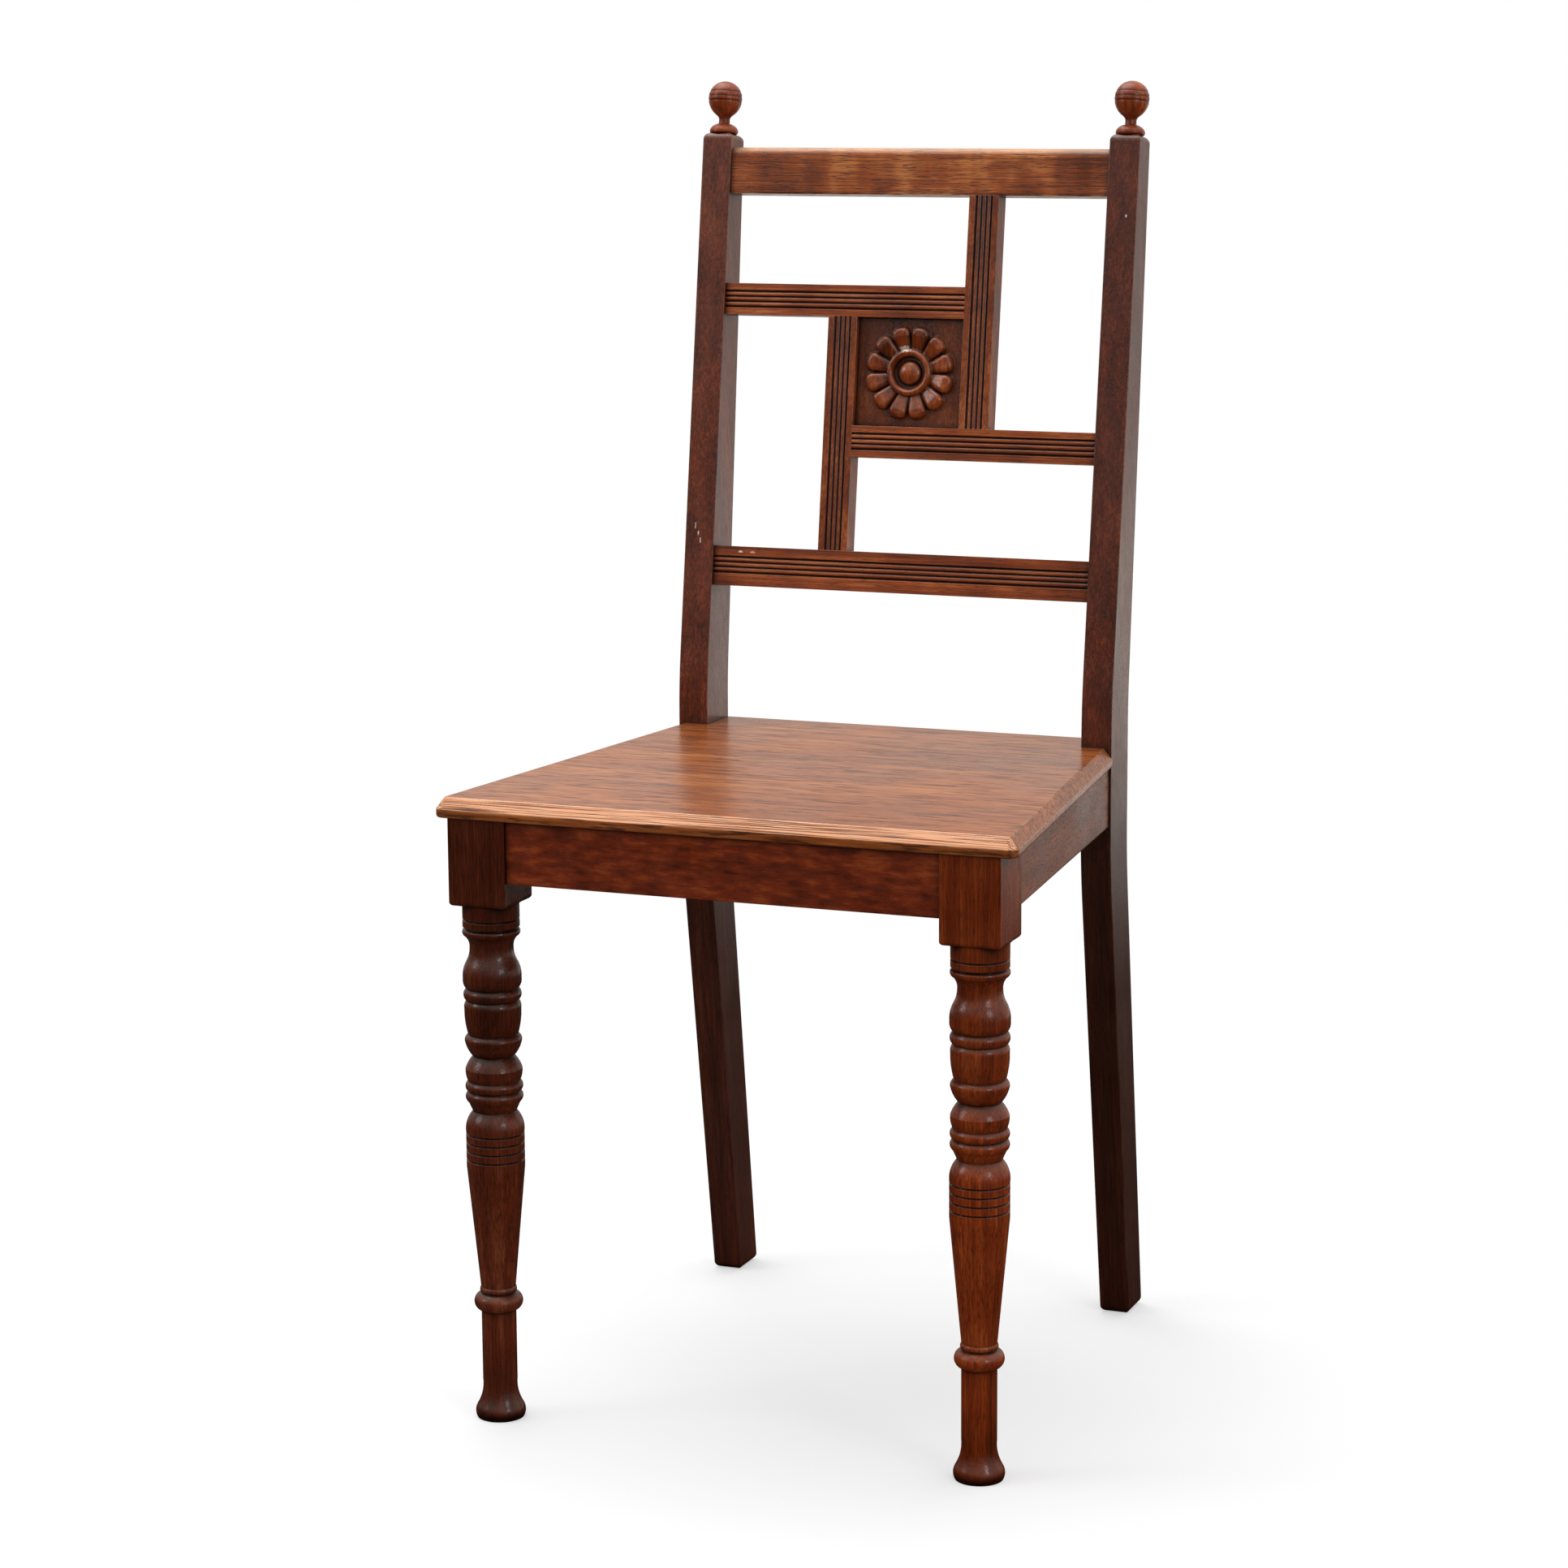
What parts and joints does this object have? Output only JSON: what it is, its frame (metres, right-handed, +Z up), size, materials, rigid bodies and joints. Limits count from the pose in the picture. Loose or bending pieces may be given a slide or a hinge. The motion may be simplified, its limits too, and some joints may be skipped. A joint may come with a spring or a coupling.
{
  "type": "side chair",
  "caption": "Oak side chair with turned front legs, raked rear posts with ball finials, and a pinwheel back of reeded rails round a carved rosette panel",
  "frame": {"origin": "on the floor, under the middle of the chair's outline", "axes": "+Z up, -Y the way the sitter faces, +X to the right seen from the front"},
  "size_m": [0.4242, 0.4303, 0.9313],
  "materials": {
    "post_oak": "dark red-brown varnished oak",
    "back_oak": "dark red-brown varnished oak, reeded",
    "carved_oak": "dark red-brown varnished oak, carved",
    "finial_oak": "dark red-brown varnished oak, turned",
    "leg_oak": "dark red-brown varnished oak, turned",
    "seat_oak": "orange-brown varnished oak, worn at the edges",
    "rail_oak": "red-brown varnished oak",
    "block_pine": "bare softwood",
    "dowel_beech": "bare beech",
    "screw_steel": "plain steel, aged"
  },
  "bodies": {
    "root": {"rear_post_left": "post_oak", "rear_post_right": "post_oak", "crest_rail": "back_oak", "upper_cross_rail": "back_oak", "middle_cross_rail": "back_oak", "lower_cross_rail": "back_oak", "left_muntin": "back_oak", "right_muntin": "back_oak", "carved_panel": "carved_oak", "finial_left": "finial_oak", "finial_right": "finial_oak", "front_leg_left": "leg_oak", "front_leg_right": "leg_oak", "seat_board": "seat_oak", "front_seat_rail": "rail_oak", "left_seat_rail": "rail_oak", "right_seat_rail": "rail_oak", "back_seat_rail": "rail_oak", "corner_block_front_left": "block_pine", "corner_block_front_right": "block_pine", "corner_block_back_left": "block_pine", "corner_block_back_right": "block_pine", "seat_rail_dowels": "dowel_beech", "corner_block_screws": "screw_steel", "seat_screws": "screw_steel"}
  },
  "joints": []
}
